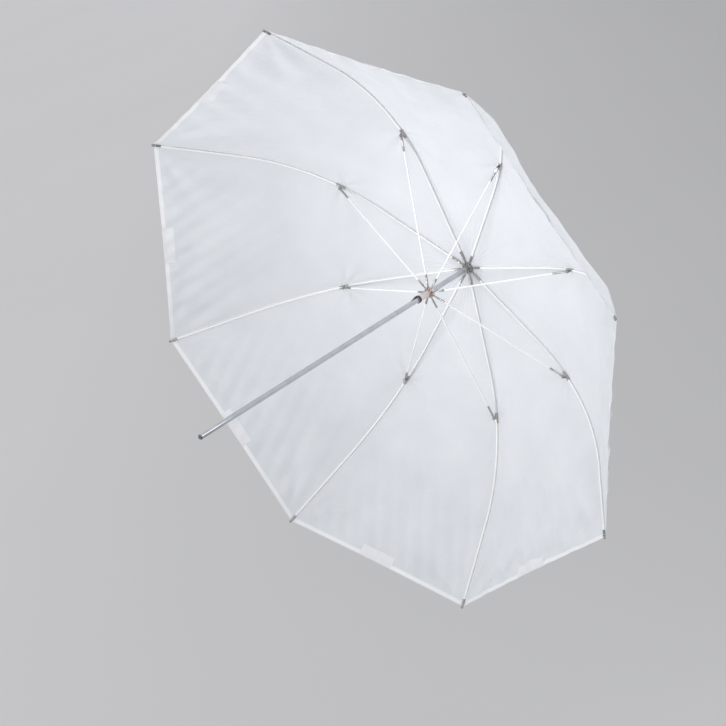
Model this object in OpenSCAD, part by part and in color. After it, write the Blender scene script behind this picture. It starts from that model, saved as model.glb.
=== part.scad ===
// Umbrella reflector: eight bent ribs, eight stretchers and a runner fold a white canopy along a slim tube shaft.
// The origin is on the shaft's axis, where a stand bracket grips it. All sizes are in millimetres.
// Y runs along the shaft towards the canopy, Z is up through rib 1, and the hollow side faces -Y.

/* [Overall size] */
// distance from the shaft's axis to the rib tips, open
tip_radius = 465; // [440:5:490]
// distance along the shaft from the notch pivots to the rib tips
tip_depth = 242; // [232:1:252]
// distance from the grip point to the notch pivots
grip_distance = 421; // [400:1:440]
// distance from the notch pivots to the shaft's free end
free_length = 594; // [580:1:610]

/* [Ribs] */
// slope of a rib where it leaves the notch, in degrees below square to the shaft
root_slope = 8.5; // [8:0.1:9]
// slope of a rib at its tip
tip_slope = 49.3; // [49:0.1:50]
// radius of the bend between a rib's two straight runs
bend_radius = 345; // [335:1:350]
// diameter of the rib rod
rib_diameter = 3; // [2.6:0.1:3]
// diameter of the stretcher rod
stretcher_diameter = 2.4; // [2:0.1:2.6]

/* [Linkage] */
// distance from the shaft's axis to the notch and runner pivots
pivot_radius = 7; // [7:0.1:7.4]
// distance from the shaft's axis to the middle of the clip on a rib
clip_radius = 238; // [230:1:246]
// distance from the rib's centre line down to the stretcher pivot
clip_drop = 5; // [5:0.1:5.6]

/* [Shaft] */
// outside diameter of the shaft tube
shaft_diameter = 8; // [7.8:0.1:8.2]
// wall thickness of the shaft tube
shaft_wall = 0.5; // [0.5:0.1:0.7]

/* [Canopy] */
// gap between a rib's centre line and the inner face of the cloth
cloth_offset = 3.2; // [3.1:0.1:3.6]
// thickness that stands for the cloth
cloth_thickness = 0.5; // [0.4:0.1:0.7]

/* [Hidden] */
$fn = 32;
rib_total = 8;
rib_step = 360 / rib_total;
half_step = rib_step / 2;
degree = PI / 180;

// the two straight runs of a rib are solved so that it starts at the notch pivot and ends at the tip
bend_sweep = tip_slope - root_slope;
run_reach = tip_radius - pivot_radius - bend_radius * (sin(tip_slope) - sin(root_slope));
run_drop = tip_depth - bend_radius * (cos(root_slope) - cos(tip_slope));
root_run = (run_reach * sin(tip_slope) - run_drop * cos(tip_slope)) / sin(bend_sweep);
tip_run = (run_drop * cos(root_slope) - run_reach * sin(root_slope)) / sin(bend_sweep);
bend_run = bend_radius * bend_sweep * degree;
rib_length = root_run + bend_run + tip_run;
bend_centre = [pivot_radius + root_run * cos(root_slope) - bend_radius * sin(root_slope),
               -root_run * sin(root_slope) - bend_radius * cos(root_slope)];

// clip and stretcher pivots; the runner pivot mirrors the notch pivot, so both arms are equally long
clip_slope = asin((clip_radius - bend_centre.x) / bend_radius);
clip_run = root_run + bend_radius * (clip_slope - root_slope) * degree;
clip_pivot = bend_centre + (bend_radius - clip_drop) * [sin(clip_slope), cos(clip_slope)];
arm_length = norm(clip_pivot - [pivot_radius, 0]);
arm_rise = atan2(-clip_pivot.y, clip_pivot.x - pivot_radius);
runner_y = grip_distance + 2 * clip_pivot.y;

rib_r = rib_diameter / 2;
stretcher_r = stretcher_diameter / 2;
shaft_r = shaft_diameter / 2;
shaft_bore_r = shaft_r - shaft_wall;
shaft_top = 14;
seat_gap = 0.02;
running_gap = 0.06;

flange_r = 8.6;
flange_half = 2.4;
slot_floor = 5.2;
slot_width = 2;
wire_r = 0.45;
eye_r = 1.4;
eye_hole_r = 0.55;
blade_width = 1.6;
blade_height = 2.4;
blade_length = 8;
root_ferrule_r = rib_r + 0.4;
root_ferrule_length = 15;
crown_neck_r = 5.6;
crown_neck_top = cloth_offset + cloth_thickness + 0.25;

washer_r = 10;
washer_thickness = 1;
washer_place = crown_neck_top + 0.1;
cap_r = 6.5;
cap_height = 8;
cap_taper = 3;
cap_place = washer_place + washer_thickness + 0.05;

runner_outer_r = shaft_r + 1;
runner_above = 5;
runner_below = 30;
collar_r = runner_outer_r + 0.9;
collar_length = 4;

clip_length = 16;
clip_outer_r = 2.35;
clip_bore_r = rib_r + 0.15;
ear_inner = 1.25;
ear_thickness = 0.8;
ear_width = 4.6;
rivet_r = 0.9;
rivet_head_r = 1.6;
rivet_head = 0.5;
knuckle_r = 2;
knuckle_hole_r = rivet_r + running_gap;
knuckle_width = 2.2;
knuckle_neck = 7;
knuckle_height = 3.2;
stretcher_ferrule_r = stretcher_r + 0.45;
stretcher_root_length = 13;
stretcher_end_length = 18;
rod_seat = 2;

flex_gap = 0.8;
tip_ferrule_r = rib_r + 0.45;
tip_ferrule_length = 13;
tip_ball_r = 2;
tip_thread_r = 0.5;

catch_top = runner_y - runner_below - 0.4;
catch_height = 2.2;
catch_length = 12;
catch_width = 2.4;
catch_head = 2;
catch_tail_sink = 0.6;
catch_leaf = 34;
catch_leaf_r = 1;
catch_leaf_thickness = 0.8;
catch_window_gap = 0.3;
crimp_y = catch_top - catch_length - catch_leaf - 6;
crimp_width = 1.6;
crimp_depth = 0.2;

plug_length = 12;
plug_head = 1.6;
plug_head_r = shaft_r - 0.2;
plug_chamfer = 0.7;
plug_web = 0.5;

seam_gap = 0.15;
join_gap = 0.03;
cloth_start = 0.6;
cloth_end = rib_length - 5;
bend_parts = 12;

cloth_colour = [0.95, 0.95, 0.97];
rod_colour = [0.9, 0.9, 0.88];
ferrule_colour = [0.42, 0.42, 0.44];
steel_colour = [0.74, 0.75, 0.77];
warm_metal_colour = [0.76, 0.64, 0.58];
dark_colour = [0.14, 0.14, 0.15];

// slope of the rib, in degrees, at a distance along it from the notch pivot
function slope_at(run) = root_slope + min(max((run - root_run) / bend_radius / degree, 0), bend_sweep);

// unit vector square to the rib, pointing to the outside of the canopy
function outward_at(run) = [sin(slope_at(run)), cos(slope_at(run))];

// point on the rib's centre line: distance from the shaft's axis, distance along it from the notch pivots
function rib_point(run) =
    run < root_run ? [pivot_radius + run * cos(root_slope), -run * sin(root_slope)] :
    run < root_run + bend_run ? bend_centre + bend_radius * outward_at(run) :
    bend_centre + bend_radius * outward_at(run)
        + (run - root_run - bend_run) * [cos(tip_slope), -sin(tip_slope)];

// the same, moved out by an offset and drawn in to the flat middle of a panel
function cloth_point(run, offset) =
    let (p = rib_point(run) + offset * outward_at(run)) [p.x * cos(half_step), p.y];

// distances along the rib where a piece of cloth from one run to another gets its folds
function cloth_runs(from, to) =
    concat([from],
           [for (i = [0 : bend_parts]) let (run = root_run + i * bend_run / bend_parts)
               if (run > from + 1 && run < to - 1) run],
           [to]);

// places its children on rib i: x away from the shaft's axis, y along it from the notch pivots, z across the rib
module on_rib(i) {
    translate([0, grip_distance, 0])
        rotate([0, (i - 1) * rib_step, 0])
            rotate([0, -90, 0])
                children();
}

// places its children about the shaft's axis, with their z along +Y from a given place
module on_shaft(place) {
    translate([0, place, 0])
        rotate([-90, 0, 0])
            children();
}

// places its children on the rib line: x along the rib, y out of the canopy
module at_run(run) {
    translate([rib_point(run).x, rib_point(run).y, 0])
        rotate([0, 0, -slope_at(run)])
            children();
}

// round bar along x
module bar(radius, from, to) {
    translate([from, 0, 0])
        rotate([0, 90, 0])
            cylinder(r = radius, h = to - from);
}

// bent part of the rib rod between two slopes
module bent_rod(from_slope, to_slope) {
    translate([bend_centre.x, bend_centre.y, 0])
        rotate([0, 0, 90 - to_slope])
            rotate_extrude(angle = to_slope - from_slope, $fn = 240)
                translate([bend_radius, 0])
                    circle(r = rib_r, $fn = 24);
}

// straight run of the rib rod, from the end of its bend into the tip ferrule
module tip_rod() {
    translate([bend_centre.x, bend_centre.y, 0])
        rotate([0, 0, 90 - tip_slope])
            translate([bend_radius, 0, 0])
                rotate([90, 0, 0])
                    cylinder(r = rib_r, h = tip_run - rod_seat - seat_gap, $fn = 24);
}

// ring of wire that all eight eyes turn on
module hinge_wire(place) {
    on_shaft(place)
        rotate_extrude()
            translate([pivot_radius, 0])
                circle(r = wire_r, $fn = 16);
}

// slots for the eight eyes and the groove for their wire, cut through a flange
module flange_cuts(place) {
    translate([0, place, 0])
        for (i = [1 : rib_total])
            rotate([0, (i - 1) * rib_step, 0])
                translate([-slot_width / 2, -flange_half - 1, slot_floor])
                    cube([slot_width, 2 * flange_half + 2, flange_r]);
    on_shaft(place)
        rotate_extrude()
            translate([pivot_radius, 0])
                circle(r = wire_r + running_gap, $fn = 16);
}

// flat eye on a hinge wire with the blade that carries it, along x
module eye_blade(length) {
    difference() {
        union() {
            cylinder(r = eye_r, h = blade_width, center = true);
            translate([0, -blade_height / 2, -blade_width / 2])
                cube([length + 1, blade_height, blade_width]);
        }
        cylinder(r = eye_hole_r, h = blade_width + 1, center = true);
    }
}

module shaft_tube() {
    color(steel_colour)
        difference() {
            on_shaft(grip_distance - free_length)
                cylinder(r = shaft_r, h = free_length + shaft_top);
            on_shaft(grip_distance - free_length - 1)
                cylinder(r = shaft_bore_r, h = free_length + shaft_top + 2);
            translate([-catch_width / 2 - catch_window_gap, catch_top - catch_length - catch_window_gap, 0])
                cube([catch_width + 2 * catch_window_gap, catch_length + 2 * catch_window_gap, shaft_r]);
            on_shaft(crimp_y)
                difference() {
                    cylinder(r = shaft_r + 1, h = crimp_width);
                    translate([0, 0, -1])
                        cylinder(r = shaft_r - crimp_depth, h = crimp_width + 2);
                }
        }
}

module shaft_end_plug() {
    color(dark_colour)
        on_shaft(grip_distance - free_length) {
            cylinder(r = shaft_bore_r - seat_gap, h = plug_length);
            translate([0, 0, -plug_head])
                cylinder(r1 = plug_head_r - plug_chamfer, r2 = plug_head_r, h = plug_head - seat_gap);
            translate([0, 0, -plug_head / 2])
                cylinder(r = shaft_bore_r - plug_web, h = plug_head);
        }
}

module notch_crown() {
    color(ferrule_colour)
        difference() {
            union() {
                on_shaft(grip_distance - flange_half)
                    cylinder(r = flange_r, h = 2 * flange_half);
                on_shaft(grip_distance)
                    cylinder(r = crown_neck_r, h = crown_neck_top);
            }
            on_shaft(grip_distance - flange_half - 1)
                cylinder(r = shaft_r + seat_gap, h = 2 * flange_half + crown_neck_top + 2);
            flange_cuts(grip_distance);
        }
}

module notch_wire() {
    color(steel_colour)
        hinge_wire(grip_distance);
}

module canopy_washer() {
    color(dark_colour)
        on_shaft(grip_distance + washer_place)
            difference() {
                cylinder(r = washer_r, h = washer_thickness);
                translate([0, 0, -1])
                    cylinder(r = shaft_r + running_gap, h = washer_thickness + 2);
            }
}

module top_cap() {
    color(ferrule_colour)
        on_shaft(grip_distance + cap_place)
            difference() {
                union() {
                    cylinder(r = cap_r, h = cap_height);
                    translate([0, 0, cap_height])
                        cylinder(r1 = cap_r, r2 = shaft_r, h = cap_taper);
                }
                translate([0, 0, -1])
                    cylinder(r = shaft_r + seat_gap, h = cap_height + 2);
            }
}

module catch() {
    color(dark_colour)
        rotate([90, 0, 90])
            translate([0, 0, -catch_width / 2])
                linear_extrude(height = catch_width)
                    polygon([[catch_top, catch_head],
                             [catch_top, shaft_r + catch_height],
                             [catch_top - catch_head, shaft_r + catch_height],
                             [catch_top - catch_length, shaft_r - catch_tail_sink],
                             [catch_top - catch_length, catch_head + catch_leaf_thickness],
                             [catch_top - catch_length - catch_leaf, catch_leaf_r + catch_leaf_thickness],
                             [catch_top - catch_length - catch_leaf, catch_leaf_r]]);
}

module runner_sleeve() {
    color(warm_metal_colour)
        difference() {
            union() {
                on_shaft(runner_y - runner_below)
                    cylinder(r = runner_outer_r, h = runner_below + runner_above);
                on_shaft(runner_y - flange_half)
                    cylinder(r = flange_r, h = 2 * flange_half);
            }
            on_shaft(runner_y - runner_below - 1)
                cylinder(r = shaft_r + running_gap, h = runner_below + runner_above + 2);
            flange_cuts(runner_y);
        }
}

module runner_wire() {
    color(steel_colour)
        hinge_wire(runner_y);
}

module runner_collar() {
    color(dark_colour)
        on_shaft(runner_y - runner_below)
            difference() {
                cylinder(r = collar_r, h = collar_length);
                translate([0, 0, -1])
                    cylinder(r = runner_outer_r + seat_gap, h = collar_length + 2);
            }
}

// inner half of a rib: eye blade, root ferrule and rod up to the clip
module rib_inner(i) {
    on_rib(i) {
        color(ferrule_colour)
            at_run(0)
                difference() {
                    union() {
                        eye_blade(blade_length);
                        bar(root_ferrule_r, blade_length, blade_length + root_ferrule_length);
                    }
                    bar(rib_r + seat_gap, blade_length + rod_seat, blade_length + root_ferrule_length + 1);
                }
        color(rod_colour) {
            at_run(0)
                bar(rib_r, blade_length + rod_seat + seat_gap, root_run);
            bent_rod(root_slope, slope_at(clip_run + clip_length / 2));
        }
    }
}

// clip crimped round a rib, with two ears and the rivet that the stretcher turns on
module rib_clip(i) {
    on_rib(i) {
        color(ferrule_colour)
            at_run(clip_run)
                difference() {
                    union() {
                        bar(clip_outer_r, -clip_length / 2, clip_length / 2);
                        for (side = [-1, 1])
                            translate([0, -clip_drop, side * (ear_inner + ear_thickness / 2)]) {
                                cylinder(r = ear_width / 2, h = ear_thickness, center = true);
                                translate([-ear_width / 2, 0, -ear_thickness / 2])
                                    cube([ear_width, clip_drop, ear_thickness]);
                            }
                    }
                    bar(clip_bore_r, -clip_length, clip_length);
                    translate([0, -clip_drop, 0])
                        cylinder(r = rivet_r + seat_gap, h = 10, center = true);
                }
        color(steel_colour)
            at_run(clip_run)
                translate([0, -clip_drop, 0]) {
                    cylinder(r = rivet_r, h = 2 * (ear_inner + ear_thickness + 0.2), center = true);
                    for (side = [-1, 1])
                        translate([0, 0, side * (ear_inner + ear_thickness + seat_gap + rivet_head / 2)])
                            cylinder(r = rivet_head_r, h = rivet_head, center = true);
                }
    }
}

// outer half of a rib: rod from the clip to the tip, with the tip ferrule the canopy is sewn to
module rib_outer(i) {
    on_rib(i) {
        color(rod_colour) {
            bent_rod(slope_at(clip_run + clip_length / 2 + flex_gap), tip_slope);
            tip_rod();
        }
        color(ferrule_colour)
            at_run(rib_length)
                difference() {
                    union() {
                        bar(tip_ferrule_r, -tip_ferrule_length, -0.5);
                        sphere(r = tip_ball_r);
                    }
                    bar(rib_r + seat_gap, -tip_ferrule_length - 1, -rod_seat);
                    translate([-tip_ferrule_length / 2, 0, 0])
                        cylinder(r = tip_thread_r, h = 10, center = true);
                }
    }
}

// strut from the runner to a rib clip: eye, two ferrules and a thin rod
module stretcher(i) {
    ferrule_end = arm_length - knuckle_neck + 1;
    on_rib(i)
        translate([pivot_radius, runner_y - grip_distance, 0])
            rotate([0, 0, arm_rise]) {
                color(ferrule_colour) {
                    difference() {
                        union() {
                            eye_blade(blade_length);
                            bar(stretcher_ferrule_r, blade_length, blade_length + stretcher_root_length);
                        }
                        bar(stretcher_r + seat_gap, blade_length + rod_seat,
                            blade_length + stretcher_root_length + 1);
                    }
                    difference() {
                        union() {
                            translate([arm_length, 0, 0])
                                cylinder(r = knuckle_r, h = knuckle_width, center = true);
                            translate([arm_length - knuckle_neck, -knuckle_height / 2, -knuckle_width / 2])
                                cube([knuckle_neck, knuckle_height, knuckle_width]);
                            bar(stretcher_ferrule_r, ferrule_end - stretcher_end_length, ferrule_end);
                        }
                        translate([arm_length, 0, 0])
                            cylinder(r = knuckle_hole_r, h = knuckle_width + 1, center = true);
                        bar(stretcher_r + seat_gap, ferrule_end - stretcher_end_length - 1,
                            ferrule_end - rod_seat);
                    }
                }
                color(rod_colour)
                    bar(stretcher_r, blade_length + rod_seat + seat_gap, ferrule_end - rod_seat - seat_gap);
            }
}

// one half of a panel, from the panel's middle to the rib plane; x away from the shaft's axis
module half_panel(from, to) {
    runs = cloth_runs(from, to);
    inner_line = [for (run = runs) cloth_point(run, cloth_offset)];
    outer_line = [for (k = [len(runs) - 1 : -1 : 0]) cloth_point(runs[k], cloth_offset + cloth_thickness)];
    intersection() {
        translate([0, 0, seam_gap])
            linear_extrude(height = tip_radius)
                polygon(concat(inner_line, outer_line));
        translate([0, tip_depth, 0])
            rotate([90, 0, 0])
                linear_extrude(height = 3 * tip_depth)
                    translate([join_gap / sin(half_step), 0])
                        polygon([[0, 0], [2 * tip_radius, 0], [2 * tip_radius, 2 * tip_radius * tan(half_step)]]);
    }
}

// cloth on both sides of a rib, out to the middle of each neighbouring panel
module canopy_piece(i, from, to) {
    color(cloth_colour)
        on_rib(i) {
            rotate([0, half_step, 0])
                half_panel(from, to);
            rotate([0, -half_step, 0])
                mirror([0, 0, 1])
                    half_panel(from, to);
        }
}

module canopy_inner(i) {
    canopy_piece(i, cloth_start, clip_run - seam_gap);
}

module canopy_outer(i) {
    canopy_piece(i, clip_run + seam_gap, cloth_end);
}

shaft_tube();
shaft_end_plug();
notch_crown();
notch_wire();
canopy_washer();
top_cap();
catch();
runner_sleeve();
runner_wire();
runner_collar();
rib_inner(1);  // rib_inner_1
rib_inner(2);  // rib_inner_2
rib_inner(3);  // rib_inner_3
rib_inner(4);  // rib_inner_4
rib_inner(5);  // rib_inner_5
rib_inner(6);  // rib_inner_6
rib_inner(7);  // rib_inner_7
rib_inner(8);  // rib_inner_8
rib_clip(1);  // rib_clip_1
rib_clip(2);  // rib_clip_2
rib_clip(3);  // rib_clip_3
rib_clip(4);  // rib_clip_4
rib_clip(5);  // rib_clip_5
rib_clip(6);  // rib_clip_6
rib_clip(7);  // rib_clip_7
rib_clip(8);  // rib_clip_8
rib_outer(1);  // rib_outer_1
rib_outer(2);  // rib_outer_2
rib_outer(3);  // rib_outer_3
rib_outer(4);  // rib_outer_4
rib_outer(5);  // rib_outer_5
rib_outer(6);  // rib_outer_6
rib_outer(7);  // rib_outer_7
rib_outer(8);  // rib_outer_8
stretcher(1);  // stretcher_1
stretcher(2);  // stretcher_2
stretcher(3);  // stretcher_3
stretcher(4);  // stretcher_4
stretcher(5);  // stretcher_5
stretcher(6);  // stretcher_6
stretcher(7);  // stretcher_7
stretcher(8);  // stretcher_8
canopy_inner(1);  // canopy_inner_1
canopy_inner(2);  // canopy_inner_2
canopy_inner(3);  // canopy_inner_3
canopy_inner(4);  // canopy_inner_4
canopy_inner(5);  // canopy_inner_5
canopy_inner(6);  // canopy_inner_6
canopy_inner(7);  // canopy_inner_7
canopy_inner(8);  // canopy_inner_8
canopy_outer(1);  // canopy_outer_1
canopy_outer(2);  // canopy_outer_2
canopy_outer(3);  // canopy_outer_3
canopy_outer(4);  // canopy_outer_4
canopy_outer(5);  // canopy_outer_5
canopy_outer(6);  // canopy_outer_6
canopy_outer(7);  // canopy_outer_7
canopy_outer(8);  // canopy_outer_8
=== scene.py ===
import bpy
import math
from mathutils import Matrix, Vector


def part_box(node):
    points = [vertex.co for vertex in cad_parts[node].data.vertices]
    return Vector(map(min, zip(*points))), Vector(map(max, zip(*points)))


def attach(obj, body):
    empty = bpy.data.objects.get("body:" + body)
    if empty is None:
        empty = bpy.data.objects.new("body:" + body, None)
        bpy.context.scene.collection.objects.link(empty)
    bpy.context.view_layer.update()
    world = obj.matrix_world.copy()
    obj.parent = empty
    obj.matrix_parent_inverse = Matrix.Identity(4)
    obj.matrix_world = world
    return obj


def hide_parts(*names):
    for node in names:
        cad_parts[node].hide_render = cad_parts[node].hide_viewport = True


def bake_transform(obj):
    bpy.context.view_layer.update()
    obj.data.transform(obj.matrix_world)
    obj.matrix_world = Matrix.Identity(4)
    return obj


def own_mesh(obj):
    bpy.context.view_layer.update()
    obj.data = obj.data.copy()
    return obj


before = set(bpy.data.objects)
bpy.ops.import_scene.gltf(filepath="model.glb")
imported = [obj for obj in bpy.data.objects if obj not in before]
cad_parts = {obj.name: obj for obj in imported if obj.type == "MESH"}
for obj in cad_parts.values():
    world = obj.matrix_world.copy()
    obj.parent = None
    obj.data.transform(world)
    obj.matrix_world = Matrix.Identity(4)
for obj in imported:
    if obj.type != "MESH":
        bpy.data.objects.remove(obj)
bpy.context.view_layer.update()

# ---------------------------------------------------------------- named sizes, metres and degrees
RIBS = 8
STEP = math.tau / RIBS
HALF = STEP / 2
ROOT_SLOPE = math.radians(8.5)
TIP_SLOPE = math.radians(49.3)
BEND_RADIUS = 0.345
CLIP_RADIUS = 0.238
CLIP_DROP = 0.005
WIRE_RADIUS = 0.00045
ROD_RADIUS = 0.0015
STRUT_RADIUS = 0.0012
BLADE = 0.008
ROOT_FERRULE = 0.015
TIP_FERRULE = 0.013
TIP_RADIUS_OUT = 0.0020
TIE_BACK = 0.0042
THREAD_RADIUS = 0.00018
CLOTH_OUT = 0.0030
CLOTH_OUT_TIP = 0.0023
HEM_WIDTH = 0.007
HEM_DIP = 0.0012
PANEL_SAG = 0.006
WRINKLE = 2.3
SEAM_WIDTH = 0.0076
SPLIT_BOW = 0.028

wire_low, wire_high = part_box("notch_wire")
runner_low, runner_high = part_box("runner_wire")
NOTCH_Y = (wire_low.y + wire_high.y) / 2
RUNNER_Y = (runner_low.y + runner_high.y) / 2
PIVOT = wire_high.x - WIRE_RADIUS
TIP_RADIUS = 0.465
TIP_DROP = 0.242

# ---------------------------------------------------------------- rib line: straight, bent, straight
reach = TIP_RADIUS - PIVOT - BEND_RADIUS * (math.sin(TIP_SLOPE) - math.sin(ROOT_SLOPE))
drop = TIP_DROP - BEND_RADIUS * (math.cos(ROOT_SLOPE) - math.cos(TIP_SLOPE))
SWEEP = TIP_SLOPE - ROOT_SLOPE
ROOT_RUN = (reach * math.sin(TIP_SLOPE) - drop * math.cos(TIP_SLOPE)) / math.sin(SWEEP)
TIP_RUN = (drop * math.cos(ROOT_SLOPE) - reach * math.sin(ROOT_SLOPE)) / math.sin(SWEEP)
BEND_RUN = BEND_RADIUS * SWEEP
RIB_LENGTH = ROOT_RUN + BEND_RUN + TIP_RUN
CENTRE_R = PIVOT + ROOT_RUN * math.cos(ROOT_SLOPE) - BEND_RADIUS * math.sin(ROOT_SLOPE)
CENTRE_Y = -ROOT_RUN * math.sin(ROOT_SLOPE) - BEND_RADIUS * math.cos(ROOT_SLOPE)
CLIP_SLOPE = math.asin((CLIP_RADIUS - CENTRE_R) / BEND_RADIUS)
CLIP_RUN = ROOT_RUN + BEND_RADIUS * (CLIP_SLOPE - ROOT_SLOPE)


def slope_at(run):
    return ROOT_SLOPE + min(max((run - ROOT_RUN) / BEND_RADIUS, 0.0), SWEEP)


def rib_line(run, out=0.0):
    """Distance from the shaft's axis, and along it from the notch pivots, of a point out from the rib."""
    a = slope_at(run)
    if run < ROOT_RUN:
        r, y = PIVOT + run * math.cos(ROOT_SLOPE), -run * math.sin(ROOT_SLOPE)
    else:
        r, y = CENTRE_R + BEND_RADIUS * math.sin(a), CENTRE_Y + BEND_RADIUS * math.cos(a)
        past = max(run - ROOT_RUN - BEND_RUN, 0.0)
        r, y = r + past * math.cos(a), y - past * math.sin(a)
    return r + out * math.sin(a), y + out * math.cos(a)


def radial(turn):
    return Vector((math.sin(turn), 0.0, math.cos(turn)))


def across(turn):
    return Vector((math.cos(turn), 0.0, -math.sin(turn)))


def rib_turn(i):
    return (i - 1) * STEP


def at_rib(i, r, y, side=0.0):
    return radial(rib_turn(i)) * r + across(rib_turn(i)) * side + Vector((0, NOTCH_Y + y, 0))


def smooth(x):
    x = min(max(x, 0.0), 1.0)
    return x * x * (3 - 2 * x)


def cloth_out(run):
    return CLOTH_OUT + (CLOTH_OUT_TIP - CLOTH_OUT) * smooth((run - RIB_LENGTH + 0.06) / 0.05)


# ---------------------------------------------------------------- materials
def material(name):
    m = bpy.data.materials.new(name)
    m.use_nodes = True
    nodes, links = m.node_tree.nodes, m.node_tree.links
    nodes.clear()
    out = nodes.new("ShaderNodeOutputMaterial")
    return m, nodes, links, out


def ramp(nodes, low, high, first, last):
    r = nodes.new("ShaderNodeValToRGB")
    r.color_ramp.elements[0].position, r.color_ramp.elements[1].position = low, high
    r.color_ramp.elements[0].color, r.color_ramp.elements[1].color = first, last
    return r


def metal(name, colour, dark, rough, metallic=1.0, grain=(1, 1, 1), bump=0.05, scale=900):
    """Metal with long fine grain, faint wear and uneven gloss."""
    m, nodes, links, out = material(name)
    b = nodes.new("ShaderNodeBsdfPrincipled")
    b.inputs["Metallic"].default_value = metallic
    co = nodes.new("ShaderNodeTexCoord")
    mp = nodes.new("ShaderNodeMapping")
    mp.inputs["Scale"].default_value = grain
    fine = nodes.new("ShaderNodeTexNoise")
    fine.inputs["Scale"].default_value = scale
    fine.inputs["Detail"].default_value = 3
    wide = nodes.new("ShaderNodeTexNoise")
    wide.inputs["Scale"].default_value = 45
    tone = ramp(nodes, 0.32, 0.68, (*dark, 1), (*colour, 1))
    gloss = nodes.new("ShaderNodeMapRange")
    gloss.inputs["To Min"].default_value = rough * 0.75
    gloss.inputs["To Max"].default_value = rough * 1.35
    bm = nodes.new("ShaderNodeBump")
    bm.inputs["Strength"].default_value = bump
    bm.inputs["Distance"].default_value = 0.0002
    links.new(co.outputs["Object"], mp.inputs["Vector"])
    links.new(mp.outputs["Vector"], fine.inputs["Vector"])
    links.new(co.outputs["Object"], wide.inputs["Vector"])
    links.new(wide.outputs["Fac"], tone.inputs["Fac"])
    links.new(tone.outputs["Color"], b.inputs["Base Color"])
    links.new(fine.outputs["Fac"], gloss.inputs["Value"])
    links.new(gloss.outputs["Result"], b.inputs["Roughness"])
    links.new(fine.outputs["Fac"], bm.inputs["Height"])
    links.new(bm.outputs["Normal"], b.inputs["Normal"])
    links.new(b.outputs["BSDF"], out.inputs["Surface"])
    return m


def plastic(name, colour, rough):
    """Moulded plastic with a faint grain."""
    m, nodes, links, out = material(name)
    b = nodes.new("ShaderNodeBsdfPrincipled")
    co = nodes.new("ShaderNodeTexCoord")
    n = nodes.new("ShaderNodeTexNoise")
    n.inputs["Scale"].default_value = 1600
    v = nodes.new("ShaderNodeTexNoise")
    v.inputs["Scale"].default_value = 60
    light = tuple(min(c * 1.25 + 0.01, 1) for c in colour)
    tone = ramp(nodes, 0.35, 0.7, (*colour, 1), (*light, 1))
    gloss = nodes.new("ShaderNodeMapRange")
    gloss.inputs["To Min"].default_value = rough - 0.07
    gloss.inputs["To Max"].default_value = rough + 0.1
    bm = nodes.new("ShaderNodeBump")
    bm.inputs["Strength"].default_value = 0.12
    bm.inputs["Distance"].default_value = 0.0002
    links.new(co.outputs["Object"], n.inputs["Vector"])
    links.new(co.outputs["Object"], v.inputs["Vector"])
    links.new(v.outputs["Fac"], tone.inputs["Fac"])
    links.new(v.outputs["Fac"], gloss.inputs["Value"])
    links.new(gloss.outputs["Result"], b.inputs["Roughness"])
    links.new(tone.outputs["Color"], b.inputs["Base Color"])
    links.new(n.outputs["Fac"], bm.inputs["Height"])
    links.new(bm.outputs["Normal"], b.inputs["Normal"])
    links.new(b.outputs["BSDF"], out.inputs["Surface"])
    return m


def fibreglass(name):
    """White drawn fibreglass: long faint fibres under a soft gloss. U runs along the rod."""
    m, nodes, links, out = material(name)
    b = nodes.new("ShaderNodeBsdfPrincipled")
    uv = nodes.new("ShaderNodeUVMap")
    mp = nodes.new("ShaderNodeMapping")
    mp.inputs["Scale"].default_value = (30, 6000, 1)
    n = nodes.new("ShaderNodeTexNoise")
    n.inputs["Scale"].default_value = 1
    n.inputs["Detail"].default_value = 4
    tone = ramp(nodes, 0.3, 0.7, (0.79, 0.79, 0.785, 1), (0.88, 0.88, 0.875, 1))
    bm = nodes.new("ShaderNodeBump")
    bm.inputs["Strength"].default_value = 0.1
    bm.inputs["Distance"].default_value = 0.0001
    b.inputs["Roughness"].default_value = 0.33
    b.inputs["Subsurface Weight"].default_value = 0.15
    b.inputs["Subsurface Radius"].default_value = (0.001, 0.001, 0.001)
    links.new(uv.outputs["UV"], mp.inputs["Vector"])
    links.new(mp.outputs["Vector"], n.inputs["Vector"])
    links.new(n.outputs["Fac"], tone.inputs["Fac"])
    links.new(tone.outputs["Color"], b.inputs["Base Color"])
    links.new(n.outputs["Fac"], bm.inputs["Height"])
    links.new(bm.outputs["Normal"], b.inputs["Normal"])
    links.new(b.outputs["BSDF"], out.inputs["Surface"])
    return m


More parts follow.
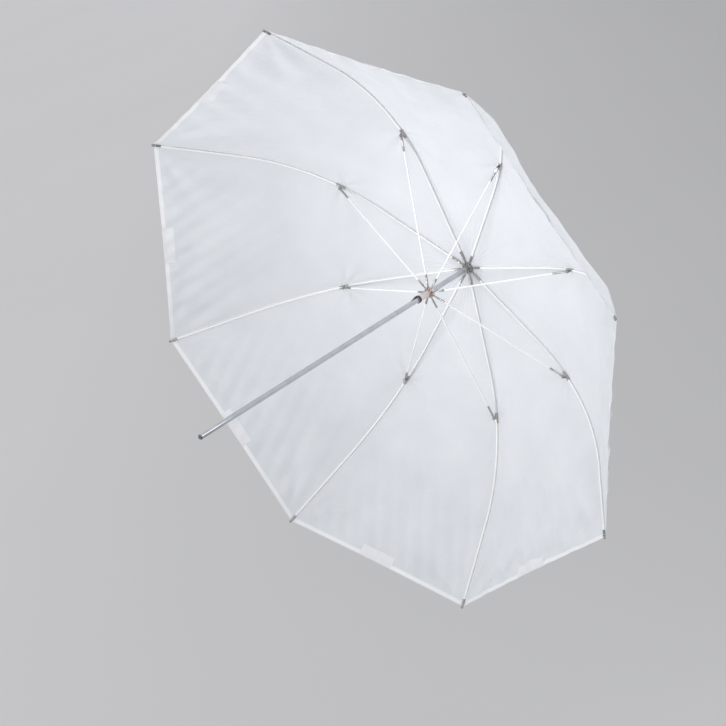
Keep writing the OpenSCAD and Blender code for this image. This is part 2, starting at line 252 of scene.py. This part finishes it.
def cloth(name, low, high, through, stitched=()):
    """Woven nylon. UV is in metres on the cloth: fine warp and weft, slubs, soft unevenness,
    and light passing through. stitched lists the V places of stitch lines, in metres."""
    m, nodes, links, out = material(name)
    uv = nodes.new("ShaderNodeUVMap")
    warp = nodes.new("ShaderNodeTexWave")
    warp.bands_direction = "X"
    weft = nodes.new("ShaderNodeTexWave")
    weft.bands_direction = "Y"
    for w in (warp, weft):
        w.inputs["Scale"].default_value = 520
        w.inputs["Distortion"].default_value = 0.6
        w.inputs["Detail"].default_value = 1
        links.new(uv.outputs["UV"], w.inputs["Vector"])
    weave = nodes.new("ShaderNodeMath")
    weave.operation = "MULTIPLY"
    links.new(warp.outputs["Fac"], weave.inputs[0])
    links.new(weft.outputs["Fac"], weave.inputs[1])
    slub = nodes.new("ShaderNodeTexNoise")
    slub.inputs["Scale"].default_value = 260
    slub.inputs["Detail"].default_value = 5
    links.new(uv.outputs["UV"], slub.inputs["Vector"])
    wide = nodes.new("ShaderNodeTexNoise")
    wide.inputs["Scale"].default_value = 14
    wide.inputs["Detail"].default_value = 4
    links.new(uv.outputs["UV"], wide.inputs["Vector"])
    mixed = nodes.new("ShaderNodeMath")
    mixed.operation = "MULTIPLY_ADD"
    mixed.inputs[1].default_value = 0.4
    links.new(slub.outputs["Fac"], mixed.inputs[0])
    links.new(wide.outputs["Fac"], mixed.inputs[2])
    tone = ramp(nodes, 0.45, 0.95, (*low, 1), (*high, 1))
    links.new(mixed.outputs["Value"], tone.inputs["Fac"])
    colour = tone.outputs["Color"]
    height = nodes.new("ShaderNodeMath")
    height.operation = "MULTIPLY_ADD"
    height.inputs[1].default_value = 0.5
    links.new(slub.outputs["Fac"], height.inputs[0])
    links.new(weave.outputs["Value"], height.inputs[2])
    up = height.outputs["Value"]
    if stitched:
        parts = nodes.new("ShaderNodeSeparateXYZ")
        links.new(uv.outputs["UV"], parts.inputs["Vector"])
        dash = nodes.new("ShaderNodeMath")
        dash.operation = "PINGPONG"
        dash.inputs[1].default_value = 0.0016
        links.new(parts.outputs["X"], dash.inputs[0])
        long = nodes.new("ShaderNodeMath")
        long.operation = "GREATER_THAN"
        long.inputs[1].default_value = 0.00045
        links.new(dash.outputs["Value"], long.inputs[0])
        total = None
        for place in stitched:
            off = nodes.new("ShaderNodeMath")
            off.operation = "SUBTRACT"
            off.inputs[1].default_value = place
            links.new(parts.outputs["Y"], off.inputs[0])
            near = nodes.new("ShaderNodeMath")
            near.operation = "COMPARE"
            near.inputs[1].default_value = 0.0
            near.inputs[2].default_value = 0.00028
            links.new(off.outputs["Value"], near.inputs[0])
            if total is None:
                total = near.outputs["Value"]
            else:
                add = nodes.new("ShaderNodeMath")
                add.operation = "MAXIMUM"
                links.new(total, add.inputs[0])
                links.new(near.outputs["Value"], add.inputs[1])
                total = add.outputs["Value"]
        thread = nodes.new("ShaderNodeMath")
        thread.operation = "MULTIPLY"
        links.new(total, thread.inputs[0])
        links.new(long.outputs["Value"], thread.inputs[1])
        mix = nodes.new("ShaderNodeMix")
        mix.data_type = "RGBA"
        mix.inputs["B"].default_value = (0.80, 0.805, 0.82, 1)
        links.new(thread.outputs["Value"], mix.inputs["Factor"])
        links.new(colour, mix.inputs["A"])
        colour = mix.outputs["Result"]
        raised = nodes.new("ShaderNodeMath")
        raised.operation = "MULTIPLY_ADD"
        raised.inputs[1].default_value = 2.0
        links.new(thread.outputs["Value"], raised.inputs[0])
        links.new(up, raised.inputs[2])
        up = raised.outputs["Value"]
    bm = nodes.new("ShaderNodeBump")
    bm.inputs["Strength"].default_value = 0.35
    bm.inputs["Distance"].default_value = 0.00012
    links.new(up, bm.inputs["Height"])
    face = nodes.new("ShaderNodeBsdfPrincipled")
    face.inputs["Roughness"].default_value = 0.62
    face.inputs["Sheen Weight"].default_value = 0.15
    face.inputs["Specular IOR Level"].default_value = 0.3
    glow = nodes.new("ShaderNodeBsdfTranslucent")
    both = nodes.new("ShaderNodeMixShader")
    both.inputs["Fac"].default_value = through
    links.new(colour, face.inputs["Base Color"])
    links.new(colour, glow.inputs["Color"])
    links.new(bm.outputs["Normal"], face.inputs["Normal"])
    links.new(bm.outputs["Normal"], glow.inputs["Normal"])
    links.new(face.outputs["BSDF"], both.inputs[1])
    links.new(glow.outputs["BSDF"], both.inputs[2])
    links.new(both.outputs["Shader"], out.inputs["Surface"])
    return m


chrome = metal("bright_tube", (0.58, 0.59, 0.62), (0.50, 0.51, 0.54), 0.10, grain=(1, 0.04, 1), bump=0.008)
grey_metal = metal("grey_ferrule", (0.52, 0.51, 0.50), (0.36, 0.35, 0.34), 0.32, bump=0.08)
dark_metal = metal("tip_ferrule", (0.40, 0.40, 0.40), (0.27, 0.27, 0.27), 0.36, bump=0.08)
warm_metal = metal("warm_runner", (0.80, 0.70, 0.66), (0.70, 0.60, 0.56), 0.24, grain=(1, 0.06, 1), bump=0.02)
steel = metal("steel_wire", (0.72, 0.72, 0.73), (0.55, 0.55, 0.56), 0.28)
dark_steel = metal("dark_spring", (0.16, 0.16, 0.17), (0.09, 0.09, 0.1), 0.35)
black = plastic("dark_plastic", (0.035, 0.035, 0.038), 0.42)
rod_white = fibreglass("white_fibreglass")
nylon = cloth("nylon", (0.715, 0.742, 0.775), (0.775, 0.80, 0.832), 0.42)
nylon_hem = cloth("nylon_hem", (0.92, 0.925, 0.93), (0.96, 0.965, 0.97), 0.30, (0.0012, 0.0058))
nylon_seam = cloth("nylon_seam", (0.93, 0.935, 0.94), (0.97, 0.975, 0.98), 0.45, (0.0012, 0.0064))
nylon_patch = cloth("nylon_patch", (0.85, 0.855, 0.875), (0.90, 0.905, 0.92), 0.30, (0.0012, 0.0178))
thread_white = cloth("thread", (0.84, 0.84, 0.85), (0.93, 0.93, 0.93), 0.1)


# ---------------------------------------------------------------- meshes
def build(name, points, faces, mats, face_mats=None, uvs=None):
    me = bpy.data.meshes.new(name)
    me.from_pydata(points, [], faces)
    for m in mats:
        me.materials.append(m)
    if face_mats:
        me.polygons.foreach_set("material_index", face_mats)
    if uvs:
        layer = me.uv_layers.new(name="UVMap")
        flat = [c for p in me.polygons for k in p.vertices for c in uvs[k]]
        layer.data.foreach_set("uv", flat)
    me.polygons.foreach_set("use_smooth", [True] * len(me.polygons))
    me.update()
    o = bpy.data.objects.new(name, me)
    bpy.context.scene.collection.objects.link(o)
    return o


def sweep(line, radius, sides=16, closed=True):
    """Round tube along a list of points. Returns points, faces, uvs."""
    points, faces, uvs = [], [], []
    ref = None
    length = 0.0
    for k, p in enumerate(line):
        a = line[max(k - 1, 0)]
        b = line[min(k + 1, len(line) - 1)]
        t = (b - a).normalized()
        if ref is None:
            ref = t.orthogonal().normalized()
        ref = (ref - t * ref.dot(t)).normalized()
        other = t.cross(ref)
        if k:
            length += (p - line[k - 1]).length
        for j in range(sides):
            w = math.tau * j / sides
            points.append(p + ref * (radius * math.cos(w)) + other * (radius * math.sin(w)))
            uvs.append((length, radius * w))
        if k:
            for j in range(sides):
                n = (j + 1) % sides
                faces.append(((k - 1) * sides + j, (k - 1) * sides + n, k * sides + n, k * sides + j))
    if closed:
        faces.append(tuple(reversed(range(sides))))
        last = (len(line) - 1) * sides
        faces.append(tuple(range(last, last + sides)))
    return points, faces, uvs


def turned(profile, sides=24):
    """Solid of revolution about local x: profile is a list of (x, radius)."""
    points, faces, uvs = [], [], []
    for k, (x, r) in enumerate(profile):
        for j in range(sides):
            w = math.tau * j / sides
            points.append(Vector((x, r * math.cos(w), r * math.sin(w))))
            uvs.append((x, r * w))
        if k:
            for j in range(sides):
                n = (j + 1) % sides
                faces.append(((k - 1) * sides + j, (k - 1) * sides + n, k * sides + n, k * sides + j))
    return points, faces, uvs


def merged(parts):
    points, faces, uvs, marks = [], [], [], []
    for (p, f, u), mark in parts:
        base = len(points)
        points += p
        faces += [tuple(base + k for k in face) for face in f]
        uvs += u
        marks += [mark] * len(f)
    return points, faces, uvs, marks


def moved(part, matrix):
    p, f, u = part
    return [matrix @ v for v in p], f, u


def rib_frame(i, run, out=0.0):
    """Matrix that puts local x along the rib, y out of the canopy and z across it."""
    r, y = rib_line(run, out)
    a = slope_at(run)
    n, z = radial(rib_turn(i)), across(rib_turn(i))
    x_axis = n * math.cos(a) - Vector((0, 1, 0)) * math.sin(a)
    y_axis = n * math.sin(a) + Vector((0, 1, 0)) * math.cos(a)
    place = at_rib(i, r, y)
    m = Matrix((x_axis, y_axis, x_axis.cross(y_axis))).transposed().to_4x4()
    m.translation = place
    return m


def slab(x0, x1, h, w, edge=0.0002):
    """Flat bar with softened edges: x along, height h across y, width w across z."""
    points, faces, uvs = [], [], []
    ring = [(-h / 2 + edge, -w / 2), (h / 2 - edge, -w / 2), (h / 2, -w / 2 + edge), (h / 2, w / 2 - edge),
            (h / 2 - edge, w / 2), (-h / 2 + edge, w / 2), (-h / 2, w / 2 - edge), (-h / 2, -w / 2 + edge)]
    xs = [x0 + (x1 - x0) * k / 6 for k in range(7)]
    for k, x in enumerate(xs):
        for y, z in ring:
            points.append(Vector((x, y, z)))
            uvs.append((x, y + z))
        if k:
            for j in range(8):
                n = (j + 1) % 8
                faces.append(((k - 1) * 8 + j, (k - 1) * 8 + n, k * 8 + n, k * 8 + j))
    faces.append(tuple(reversed(range(8))))
    faces.append(tuple(range(48, 56)))
    return points, faces, uvs


def eye(radius, hole, width, sides=24):
    """Flat ring about local z, with softened rims."""
    e = 0.00015
    h = width / 2
    prof = [(hole, -h + e), (hole + e, -h), (radius - e, -h), (radius, -h + e),
            (radius, h - e), (radius - e, h), (hole + e, h), (hole, h - e)]
    points, faces, uvs = [], [], []
    n = len(prof)
    for j in range(sides):
        w = math.tau * j / sides
        for r, z in prof:
            points.append(Vector((r * math.cos(w), r * math.sin(w), z)))
            uvs.append((r * w, z))
    for j in range(sides):
        q = (j + 1) % sides
        for k in range(n):
            m = (k + 1) % n
            faces.append((j * n + k, q * n + k, q * n + m, j * n + m))
    return points, faces, uvs


def ferrule(x0, x1, r, bore, crimps):
    """Thin tube crimped on a rod, with rounded mouth and shallow crimp grooves."""
    prof = [(x0, bore * 0.6), (x0, r - 0.0003), (x0 + 0.0003, r)]
    for c in crimps:
        prof += [(c - 0.0008, r), (c - 0.0003, r - 0.00022), (c + 0.0003, r - 0.00022), (c + 0.0008, r)]
    prof += [(x1 - 0.0009, r), (x1 - 0.0006, r + 0.00012), (x1 - 0.0002, r + 0.0001)]
    prof += [(x1, r - 0.0002), (x1, bore)]
    return turned(prof)


# ---------------------------------------------------------------- CAD pieces that show
def finish_node(name, mat):
    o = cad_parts[name]
    o.data.materials.clear()
    o.data.materials.append(mat)
    o.data.polygons.foreach_set("use_smooth", [True] * len(o.data.polygons))
    o.data.set_sharp_from_angle(angle=math.radians(32))


finish_node("shaft_tube", chrome)
finish_node("shaft_end_plug", black)
finish_node("notch_crown", grey_metal)
finish_node("notch_wire", steel)
finish_node("canopy_washer", black)
finish_node("top_cap", grey_metal)
finish_node("catch", dark_steel)
finish_node("runner_sleeve", warm_metal)
finish_node("runner_wire", steel)
finish_node("runner_collar", black)
for i in range(1, RIBS + 1):
    finish_node(f"rib_clip_{i}", grey_metal)


# ---------------------------------------------------------------- ribs
def make_rib(i):
    start, end = BLADE + 0.002, RIB_LENGTH - 0.0022
    count = 130
    line = []
    for k in range(count + 1):
        run = start + (end - start) * k / count
        line.append(at_rib(i, *rib_line(run)))
    p, f, u = sweep(line, ROD_RADIUS, 14)
    rod = build(f"rib_rod_{i}", p, f, [rod_white], None, u)
    m = rib_frame(i, CLIP_RUN)
    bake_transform(rod)
    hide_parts(f"rib_inner_{i}", f"rib_outer_{i}")
    parts = [
        (eye(0.0014, 0.00055, 0.0016), 0),
        (slab(0.0011, BLADE + 0.001, 0.0024, 0.0016), 0),
        (ferrule(BLADE, BLADE + ROOT_FERRULE, ROD_RADIUS + 0.0004, ROD_RADIUS,
                 (BLADE + 0.0055, BLADE + 0.0095)), 0),
    ]
    p, f, u, marks = merged([(moved(part, rib_frame(i, 0.0)), k) for part, k in parts])
    root = build(f"rib_root_{i}", p, f, [grey_metal], marks, u)
    root.data.set_sharp_from_angle(angle=math.radians(35))
    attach(root, f"inner_{i}")
    r = ROD_RADIUS + 0.00045
    prof = [(-TIP_FERRULE, ROD_RADIUS), (-TIP_FERRULE, r - 0.0001), (-TIP_FERRULE + 0.0003, r),
            (-0.0108, r), (-0.0104, r - 0.0002), (-0.0098, r - 0.0002), (-0.0094, r), (-0.0004, r)]
    dome = [(TIP_RADIUS_OUT * math.sin(w) * 0.95, max(TIP_RADIUS_OUT * math.cos(w) * 0.97, 0.00002))
            for w in (math.pi / 2 * k / 8 for k in range(9))]
    p, f, u = moved(turned(prof + dome), rib_frame(i, RIB_LENGTH))
    tip = build(f"rib_tip_{i}", p, f, [dark_metal], None, u)
    tip.data.set_sharp_from_angle(angle=math.radians(35))
    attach(tip, f"outer_{i}")
    return rod


def make_strut(i):
    z = across(rib_turn(i))
    clip = rib_frame(i, CLIP_RUN) @ Vector((0, -CLIP_DROP, 0))
    foot = at_rib(i, PIVOT, RUNNER_Y - NOTCH_Y)
    arm = (clip - foot).length
    x_axis = (clip - foot).normalized()
    y_axis = (Vector((0, 1, 0)) - x_axis * x_axis.y).normalized()
    m = Matrix((x_axis, y_axis, x_axis.cross(y_axis))).transposed().to_4x4()
    m.translation = foot
    r = STRUT_RADIUS + 0.00045
    near, far = 0.013, 0.018
    parts = [
        (eye(0.0014, 0.00055, 0.0016), 0),
        (slab(0.0011, BLADE + 0.001, 0.0024, 0.0016), 0),
        (ferrule(BLADE, BLADE + near, r, STRUT_RADIUS, (BLADE + 0.0045, BLADE + 0.008)), 0),
        (moved(eye(0.0020, 0.00096, 0.0022), Matrix.Translation((arm, 0, 0))), 0),
        (slab(arm - 0.0015, arm - 0.0068, 0.0032, 0.0022), 0),
        (moved(ferrule(-(arm - 0.006), -(arm - 0.006 - far), r, STRUT_RADIUS,
                       (-(arm - 0.0115), -(arm - 0.016))), Matrix.Rotation(math.pi, 4, "Z")), 0),
    ]
    p, f, u, marks = merged([(moved(part, m), k) for part, k in parts])
    ends = build(f"strut_ends_{i}", p, f, [grey_metal], marks, u)
    ends.data.set_sharp_from_angle(angle=math.radians(35))
    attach(ends, f"strut_{i}")
    line = [m @ Vector((BLADE + 0.002 + (arm - 0.018) * k / 30, 0, 0)) for k in range(31)]
    p, f, u = sweep(line, STRUT_RADIUS, 12)
    rod = build(f"strut_rod_{i}", p, f, [rod_white], None, u)
    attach(rod, f"strut_{i}")
    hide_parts(f"stretcher_{i}")


# ---------------------------------------------------------------- canopy surface
def wrinkle(g, run, v):
    """Small folds of panel g, which start at the tips, the clips and the hub, at v from rib to rib."""
    total = 0.0
    edge = math.sin(math.pi * v)
    width = 2 * rib_line(run)[0] * math.sin(HALF)
    for side in (0, 1):
        across_m = (v if side == 0 else 1 - v) * width
        seed = g * 2.3 + side * 1.7
        back = RIB_LENGTH - run + 0.004
        angle = math.atan2(across_m, back)
        far = math.hypot(across_m, back)
        fan = math.sin(9 * angle + seed) + 0.3 * math.sin(15 * angle + 2.1 * seed)
        total += 0.0016 * fan * math.exp(-far / 0.10) * smooth((far - 0.014) / 0.07) * smooth(angle / 0.2)
        clip = run - CLIP_RUN
        far = math.hypot(across_m, clip)
        angle = math.atan2(across_m, clip)
        fan = math.sin(7 * angle + 1.3 * seed)
        total += 0.0007 * fan * math.exp(-far / 0.05) * smooth(across_m / 0.02)
    hub = math.sin(14 * math.pi * v + g) * math.exp(-run / 0.07) * smooth(run / 0.02)
    total += 0.00035 * hub * edge
    back = RIB_LENGTH - run
    long = math.sin(3 * math.pi * v + 0.8 * g) * smooth((run - 0.12) / 0.2) * smooth(back / 0.15)
    total += 0.0009 * long * edge
    along = v * width
    pucker = math.sin(math.tau * (along + 0.55 * back) / 0.052 + 1.9 * g)
    pucker += 0.6 * math.sin(math.tau * (along - 0.3 * back) / 0.031 + 0.7 * g)
    total += 0.0011 * pucker * math.exp(-back / 0.085) * smooth(along / 0.05) * smooth((width - along) / 0.05)
    taut = 0.15 + 0.85 * smooth(back / 0.03)
    return WRINKLE * total * taut * min(1.0, 6 * edge)


def panel_point(g, run, v, lift=0.0):
    """Point of panel g, between ribs g and g + 1, at a distance along the ribs and v from rib to rib."""
    hem = smooth((run - RIB_LENGTH + 0.2) / 0.2)
    run = run - HEM_DIP * hem * math.sin(math.pi * v)
    r, y = rib_line(run, cloth_out(run))
    a = slope_at(run)
    turn = rib_turn(g)
    p0, p1 = radial(turn) * r, radial(turn + STEP) * r
    p = p0.lerp(p1, v) + Vector((0, NOTCH_Y + y, 0))
    mid = radial(turn + HALF)
    out = mid * math.sin(a) + Vector((0, 1, 0)) * math.cos(a)
    full = smooth(run / 0.18) * (0.35 + 0.65 * smooth((RIB_LENGTH - run) / 0.2))
    sag = PANEL_SAG * full * 4 * v * (1 - v)
    return p + out * (lift - sag + wrinkle(g, run, v))


def panel_normal(g, run, v):
    e = 0.0008
    a = panel_point(g, run + e, v) - panel_point(g, run - e, v)
    ve = e / (2 * rib_line(run)[0] * math.sin(HALF))
    b = panel_point(g, run, min(v + ve, 1)) - panel_point(g, run, max(v - ve, 0))
    n = a.cross(b).normalized()
    return n if n.y > 0 else -n


def split_run(v):
    """Where the inner cloth ends and the outer begins: at the clip on a rib, further out between ribs."""
    return CLIP_RUN + SPLIT_BOW * 2 * min(v, 1 - v)


def grid(g, start, end, rows, vs, lift, uv_of):
    """Cloth of panel g from start(v) to end(v), with its UV and surface normals."""
    points, faces, uvs, normals = [], [], [], []
    for j in range(rows + 1):
        for v in vs:
            run = start(v) + (end(v) - start(v)) * j / rows
            points.append(panel_point(g, run, v, lift))
            uvs.append(uv_of(run, v))
            normals.append(panel_normal(g, run, v))
    w = len(vs)
    for j in range(rows):
        for k in range(w - 1):
            face = (j * w + k, j * w + k + 1, (j + 1) * w + k + 1, (j + 1) * w + k)
            faces.append(face[::-1] if vs[-1] > vs[0] else face)
    return points, faces, uvs, normals


def spread(a, b, n):
    return [a + (b - a) * k / n for k in range(n + 1)]


HUB_RUN = -0.0008
HEM_RUN = RIB_LENGTH - 0.002
PATCH_HALF = 0.032
PATCH_DEPTH = 0.019


def cut_area(start, end, v0, v1, steps=48):
    """Flat area of a panel's cut from start(v) to end(v): the pattern, straight from rib to rib."""
    total = 0.0
    for k in range(steps):
        v = v0 + (v1 - v0) * (k + 0.5) / steps
        step = (end(v) - start(v)) / steps
        for j in range(steps):
            run = start(v) + step * (j + 0.5)
            a = slope_at(run)
            down = math.hypot(math.cos(a) * math.cos(HALF), math.sin(a))
            total += 2 * rib_line(run)[0] * math.sin(HALF) * down * step
    return total * abs(v1 - v0) / steps


def make_half(i, side, band):
    """The cloth on one side of rib i, from the rib to the middle of the next panel."""
    g = i if side > 0 else (i - 2) % RIBS + 1
    v0, v1 = (0.0, 0.5) if side > 0 else (1.0, 0.5)
    hub, hem = (lambda v: HUB_RUN), (lambda v: HEM_RUN)

    def flat_uv(run, v):
        half = rib_line(run)[0] * math.sin(HALF)
        return (run + 0.7 * g, (v - 0.5) * 2 * half + 0.31 * g)

    if band == "inner":
        sets = [(grid(g, hub, split_run, 38, spread(v0, v1, 60), 0.0, flat_uv), 0)]
    else:
        fold_line = (lambda v: HEM_RUN - HEM_WIDTH)
        sets = [(grid(g, split_run, fold_line, 50, spread(v0, v1, 60), 0.0, flat_uv), 0),
                (grid(g, fold_line, hem, 4, spread(v0, v1, 60), 0.0, flat_uv), 0)]
        length = 2 * rib_line(HEM_RUN)[0] * math.sin(HALF)
        sets.append((grid(g, fold_line, hem, 4, spread(v0, v1, 60), -0.0004,
                          lambda run, v: (v * length, HEM_RUN - run)), 1))
        reach = PATCH_HALF / length
        stop = 0.5 - reach if side > 0 else 0.5 + reach
        sets.append((grid(g, lambda v: HEM_RUN - PATCH_DEPTH, lambda v: HEM_RUN - 0.0005, 5,
                          spread(stop, v1, 12), -0.0008, lambda run, v: (v * length, HEM_RUN - run)), 2))
    points, faces, uvs, marks, normals = [], [], [], [], []
    for (p, f, u, n), mark in sets:
        base = len(points)
        points += p
        faces += [tuple(base + k for k in face) for face in f]
        uvs += u
        normals += n
        marks += [mark] * len(f)
    letter = "a" if side > 0 else "b"
    o = build(f"cloth_{band}_{i}{letter}", points, faces, [nylon, nylon_hem, nylon_patch], marks, uvs)
    o.data.normals_split_custom_set_from_vertices([tuple(n) for n in normals])
    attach(o, f"{band}_{i}")
    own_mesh(o)
    if band == "inner":
        wide, deep = rib_line(split_run(0.5))[0] * math.sin(HALF), split_run(0.5) - HUB_RUN
        area = cut_area(hub, split_run, v0, v1)
    else:
        wide, deep = rib_line(HEM_RUN)[0] * math.sin(HALF), HEM_RUN - CLIP_RUN + HEM_WIDTH
        area = cut_area(split_run, hem, v0, v1) + wide * HEM_WIDTH + PATCH_HALF * PATCH_DEPTH
    return o


def make_seam(i):
    """Flat seam along a rib, on the hollow side of the cloth, where two panels are sewn together."""
    half = SEAM_WIDTH / 2
    count = 150
    points, faces, uvs = [], [], []
    cols = [-1.0, -0.6, 0.0, 0.6, 1.0]
    z = across(rib_turn(i))
    for k in range(count + 1):
        run = 0.004 + (HEM_RUN - 0.004) * k / count
        narrow = min(1.0, 0.45 + run / 0.05)
        r, y = rib_line(run, cloth_out(run) - 0.0004)
        a = slope_at(run)
        n = radial(rib_turn(i)) * math.sin(a) + Vector((0, 1, 0)) * math.cos(a)
        for c in cols:
            dip = 0.0006 * (1 - abs(c)) + abs(c) * half * narrow * math.sin(HALF) * math.sin(a)
            ripple = 0.00012 * math.sin(run * 900 + c * 2 + i)
            points.append(at_rib(i, r, y) + z * (c * half * narrow) - n * (dip + ripple))
            uvs.append((run, (c + 1) * half))
        if k:
            for j in range(4):
                q = (k - 1) * 5 + j
                faces.append((q, q + 1, q + 6, q + 5))
    o = build(f"rib_seam_{i}", points, faces, [nylon_seam], None, uvs)
    m = rib_frame(i, CLIP_RUN)
    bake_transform(o)


def make_tie(i):
    """White thread that ties the corner of the cloth to the tip ferrule, through the ferrule's hole."""
    loops = []
    for k, (shift, lean) in enumerate(((-0.0002, 0.18), (0.00025, -0.15))):
        line = []
        for j in range(33):
            w = math.tau * j / 32
            tall = TIP_RADIUS_OUT + 0.0003 if math.sin(w) < 0 else CLOTH_OUT_TIP + 0.0003
            line.append(Vector((shift + lean * 0.002 * math.cos(w), tall * math.sin(w),
                                (TIP_RADIUS_OUT + 0.0003) * math.cos(w))))
        loops.append((sweep(line, THREAD_RADIUS, 8, closed=False), 0))
    p, f, u, marks = merged([(moved(part, rib_frame(i, RIB_LENGTH - TIE_BACK)), k) for part, k in loops])
    o = build(f"tip_tie_{i}", p, f, [thread_white], marks, u)
    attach(o, f"outer_{i}")


for i in range(1, RIBS + 1):
    make_rib(i)
    make_strut(i)
for i in range(1, RIBS + 1):
    for band in ("inner", "outer"):
        left = make_half(i, 1, band)
        make_half(i, -1, band)
        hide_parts(f"canopy_{band}_{i}")
    make_seam(i)
    make_tie(i)

# ---------------------------------------------------------------- floor, light and camera
FLOOR_DROP = 1.45
FLOOR_HALF = 60.0
# painted shade: the floor is painted darker along this direction, standing in for light falling off across it
FLOOR_SHADE_SIDE = (0.73, 0.68, 0.0)
floor_mat, nodes, links, out = material("pale_floor_painted_shade")
b = nodes.new("ShaderNodeBsdfPrincipled")
co = nodes.new("ShaderNodeTexCoord")
n = nodes.new("ShaderNodeTexNoise")
n.inputs["Scale"].default_value = 0.35
# painted shade: the dot product with that direction runs the floor from its pale tone to a darker one; the
# noise adds random unevenness on top
side = nodes.new("ShaderNodeVectorMath")
side.operation = "DOT_PRODUCT"
side.inputs[1].default_value = FLOOR_SHADE_SIDE
shade = nodes.new("ShaderNodeMapRange")
shade.inputs["From Min"].default_value = -1.9
shade.inputs["From Max"].default_value = 2.4
uneven = nodes.new("ShaderNodeMath")
uneven.operation = "MULTIPLY_ADD"
uneven.inputs[1].default_value = 0.15
tone = ramp(nodes, 0.0, 1.15, (0.645, 0.643, 0.655, 1), (0.46, 0.46, 0.462, 1))
b.inputs["Roughness"].default_value = 0.9
links.new(co.outputs["Object"], n.inputs["Vector"])
links.new(co.outputs["Object"], side.inputs[0])
links.new(side.outputs["Value"], shade.inputs["Value"])
links.new(n.outputs["Fac"], uneven.inputs[0])
links.new(shade.outputs["Result"], uneven.inputs[2])
links.new(uneven.outputs["Value"], tone.inputs["Fac"])
links.new(tone.outputs["Color"], b.inputs["Base Color"])
links.new(b.outputs["BSDF"], out.inputs["Surface"])
h = FLOOR_HALF
floor = build("floor", [(-h, -h, 0), (h, -h, 0), (h, h, 0), (-h, h, 0)], [(0, 1, 2, 3)], [floor_mat])
floor.location.z = -FLOOR_DROP

world = bpy.data.worlds.new("studio")
bpy.context.scene.world = world
world.use_nodes = True
world.node_tree.nodes["Background"].inputs["Color"].default_value = (0.985, 0.988, 1.0, 1)
world.node_tree.nodes["Background"].inputs["Strength"].default_value = 0.875


def soft_light(name, place, target, size, power, spread=math.pi):
    """Round lamp aimed at a target, unseen by the camera in every view."""
    d = bpy.data.lights.new(name, "AREA")
    d.shape = "DISK"
    d.size = size
    d.energy = power
    d.spread = spread
    o = bpy.data.objects.new(name, d)
    bpy.context.scene.collection.objects.link(o)
    o.visible_camera = False
    o.location = place
    o.rotation_euler = (Vector(target) - Vector(place)).to_track_quat("-Z", "Y").to_euler()
    return o


soft_light("key", (1.5, -0.4, 2.3), (0, 0.3, 0.1), 1.2, 12.4)
soft_light("side", (2.2, 1.5, 0.7), (0.1, 0.3, 0.05), 1.2, 5)
soft_light("hollow", (-0.11, -0.79, 0.17), (0.06, 0.40, 0.145), 0.3, 1.5, math.radians(70))
soft_light("low", (0.8, 1.7, -0.8), (0, 0.3, -0.15), 1.2, 6.6)

CAMERA_TARGET = Vector((0.0, 0.151, -0.038))
CAMERA_DISTANCE = 2.9
CAMERA_AZIMUTH = math.radians(48.3)
CAMERA_ELEVATION = math.radians(16.0)
CAMERA_ROLL = math.radians(-19.1)
CAMERA_LENS = 97.75
CAMERA_SENSOR = 36.0
cam_data = bpy.data.cameras.new("camera")
cam = bpy.data.objects.new("camera", cam_data)
bpy.context.scene.collection.objects.link(cam)
back = Vector((math.sin(CAMERA_AZIMUTH) * math.cos(CAMERA_ELEVATION),
               -math.cos(CAMERA_AZIMUTH) * math.cos(CAMERA_ELEVATION),
               math.sin(CAMERA_ELEVATION)))
right = Vector((0, 0, 1)).cross(back).normalized()
up = back.cross(right)
tilted_right = right * math.cos(CAMERA_ROLL) + up * math.sin(CAMERA_ROLL)
tilted_up = back.cross(tilted_right)
turn = Matrix((tilted_right, tilted_up, back)).transposed()
cam.matrix_world = Matrix.Translation(CAMERA_TARGET + back * CAMERA_DISTANCE) @ turn.to_4x4()
cam_data.sensor_width = CAMERA_SENSOR
cam_data.lens = CAMERA_LENS
cam_data.clip_start, cam_data.clip_end = 0.05, 200
bpy.context.scene.camera = cam
bpy.context.scene.view_settings.view_transform = "Standard"
